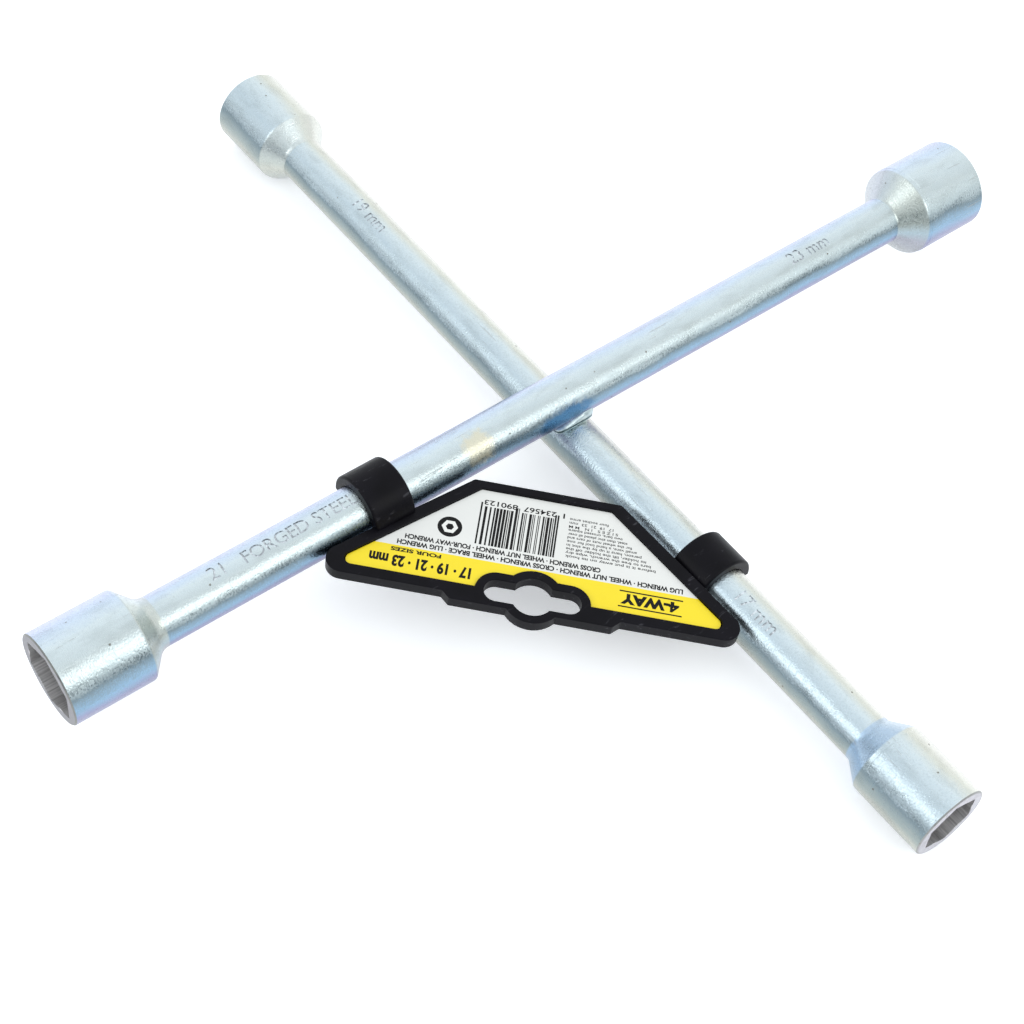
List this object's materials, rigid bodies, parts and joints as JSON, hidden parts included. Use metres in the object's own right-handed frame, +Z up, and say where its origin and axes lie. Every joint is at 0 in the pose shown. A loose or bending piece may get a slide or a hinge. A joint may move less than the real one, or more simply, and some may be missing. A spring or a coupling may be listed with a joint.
{
  "type": "lug wrench",
  "caption": "Cross-shaped lug wrench with a hexagon socket on each arm and a clip-on moulded hanger that carries a label and a hanging slot.",
  "frame": {"origin": "under the middle of the bounding box, at the lowest point of the sockets on the lower bar", "axes": "+X along the upper bar towards the 23 mm socket, +Y along the lower bar towards the 19 mm socket, +Z up; the upper bar crosses on top"},
  "size_m": [0.356, 0.356, 0.042],
  "materials": {
    "zinc_steel": "satin blue-white zinc plating",
    "black_plastic": "moulded satin black",
    "label_card": "printed and coated card, yellow and white"
  },
  "bodies": {
    "wrench": {"upper_bar": "zinc_steel", "lower_bar": "zinc_steel", "socket_17": "zinc_steel", "socket_19": "zinc_steel", "socket_21": "zinc_steel", "socket_23": "zinc_steel", "crossing_weld": "zinc_steel"},
    "hanger": {"hanger": "black_plastic", "label": "label_card"}
  },
  "joints": [
    {"name": "hanger_lift", "type": "slide", "parent": "wrench", "child": "hanger", "axis": [0, 0, 1], "range_m": [0, 0.06]}
  ]
}
